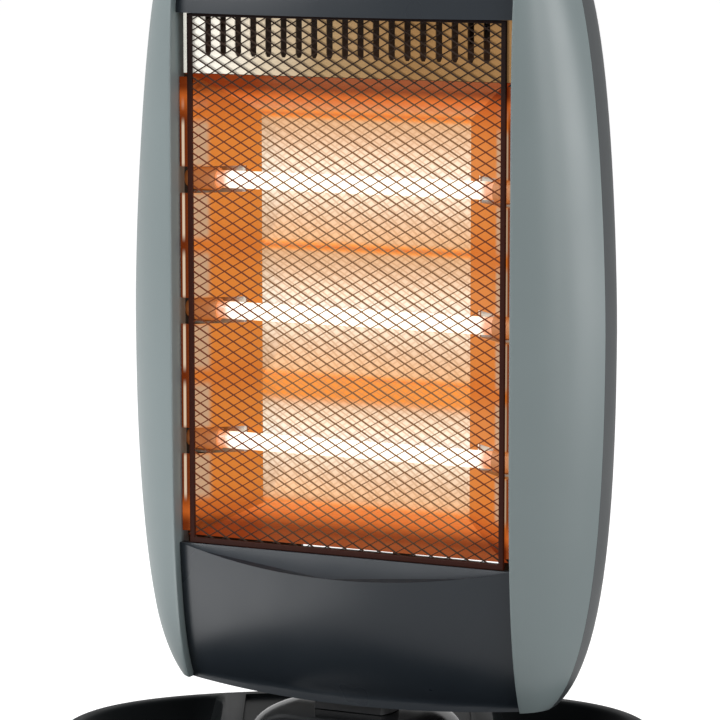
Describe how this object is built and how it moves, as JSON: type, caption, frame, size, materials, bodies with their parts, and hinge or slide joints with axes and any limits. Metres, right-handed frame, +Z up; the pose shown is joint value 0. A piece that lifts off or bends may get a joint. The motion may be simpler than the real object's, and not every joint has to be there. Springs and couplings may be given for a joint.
{
  "type": "halogen heater",
  "caption": "Upright halogen heater: a barrel-shaped head with quartz lamps, reflector and mesh guard swings on a low oval dished base.",
  "frame": {"origin": "on the floor under the swivel axis, in the middle of the oval base", "axes": "+Z up, +X to the right of the base and -Y out of its front; the head stands turned 25 degrees about +Z, towards the left of someone facing the heater"},
  "size_m": [0.344, 0.2158, 0.488],
  "materials": {
    "silver_grey": "satin silver-grey moulded plastic",
    "dark_grey": "semi-gloss dark grey moulded plastic",
    "graphite": "satin graphite moulded plastic",
    "gloss_black": "glossy black moulded plastic",
    "polished_sheet": "polished aluminium sheet",
    "guard_steel": "plated expanded steel, browned by heat",
    "steel": "plain zinc-plated steel",
    "quartz": "clear fused quartz",
    "filament": "glowing coiled resistance wire",
    "ceramic": "unglazed steatite",
    "black_plastic": "black moulded plastic",
    "white_plastic": "natural white engineering plastic",
    "rubber": "soft black rubber",
    "wire_sleeve": "woven glass-fibre sleeving"
  },
  "bodies": {
    "base": {"base_shell": "graphite", "base_plate": "steel", "swivel_pedestal": "gloss_black", "swivel_post": "black_plastic", "swing_link": "white_plastic", "swivel_nut": "steel", "cord_gland": "rubber", "tip_switch_body": "black_plastic", "tip_spring": "steel", "foot_1": "rubber", "foot_2": "rubber", "foot_3": "rubber", "foot_4": "rubber", "base_screw_1": "steel", "base_screw_2": "steel", "base_screw_3": "steel", "base_screw_4": "steel"},
    "head": {"cheek_right": "silver_grey", "cheek_left": "silver_grey", "lower_panel": "dark_grey", "brow_panel": "dark_grey", "top_cover": "dark_grey", "rear_cover": "graphite", "bottom_cover": "black_plastic", "rear_screw_1": "steel", "rear_screw_2": "steel", "rear_screw_3": "steel", "rear_screw_4": "steel", "mesh_guard": "guard_steel", "vent_strip": "polished_sheet", "reflector": "polished_sheet", "reflector_wing_right": "polished_sheet", "reflector_wing_left": "polished_sheet", "lamp_bracket_right": "steel", "lamp_bracket_left": "steel", "quartz_tube_1": "quartz", "quartz_tube_2": "quartz", "quartz_tube_3": "quartz", "filament_1": "filament", "filament_2": "filament", "filament_3": "filament", "lamp_cap_left_1": "ceramic", "lamp_cap_left_2": "ceramic", "lamp_cap_left_3": "ceramic", "lamp_cap_right_1": "ceramic", "lamp_cap_right_2": "ceramic", "lamp_cap_right_3": "ceramic", "lamp_lead_left": "wire_sleeve", "lamp_lead_right": "wire_sleeve", "overheat_cutout": "steel", "terminal_block": "white_plastic", "swing_motor": "steel", "switch_body_1": "black_plastic", "switch_body_2": "black_plastic", "switch_body_3": "black_plastic"},
    "swing_drive": {"swing_crank": "white_plastic"},
    "heat_switch_1": {"heat_rocker_1": "black_plastic"},
    "heat_switch_2": {"heat_rocker_2": "black_plastic"},
    "swing_switch": {"swing_rocker": "black_plastic"},
    "tip_over_plunger": {"tip_plunger": "white_plastic"}
  },
  "joints": [
    {"name": "head_swivel", "type": "hinge", "parent": "base", "child": "head", "pos_m": [0, 0, 0.05], "axis": [0, 0, 1], "range_deg": [-10, 60]},
    {"name": "crank_turn", "type": "hinge", "parent": "head", "child": "swing_drive", "pos_m": [0.0093, 0.01994, 0.0658], "axis": [0, 0, 1], "range_deg": [-154.3, 25.72]},
    {"name": "heat_switch_1_rock", "type": "hinge", "parent": "head", "child": "heat_switch_1", "pos_m": [-0.01898, 0.02319, 0.4815], "axis": [0.9063, -0.4226, 0], "range_deg": [-22, 0]},
    {"name": "heat_switch_2_rock", "type": "hinge", "parent": "head", "child": "heat_switch_2", "pos_m": [0.00549, 0.01178, 0.4815], "axis": [0.9063, -0.4226, 0], "range_deg": [-22, 0]},
    {"name": "swing_switch_rock", "type": "hinge", "parent": "head", "child": "swing_switch", "pos_m": [0.02996, 0.00037, 0.4815], "axis": [0.9063, -0.4226, 0], "range_deg": [0, 22]},
    {"name": "tip_plunger_slide", "type": "slide", "parent": "base", "child": "tip_over_plunger", "axis": [0, 0, -1], "range_m": [0, 0.006], "stiffness_N_per_m": 60, "springref_m": 0.006, "deforming": ["tip_spring"]}
  ],
  "couplings": [
    {"joint": "crank_turn", "follows": "head_swivel", "ratio": -2.5714}
  ]
}
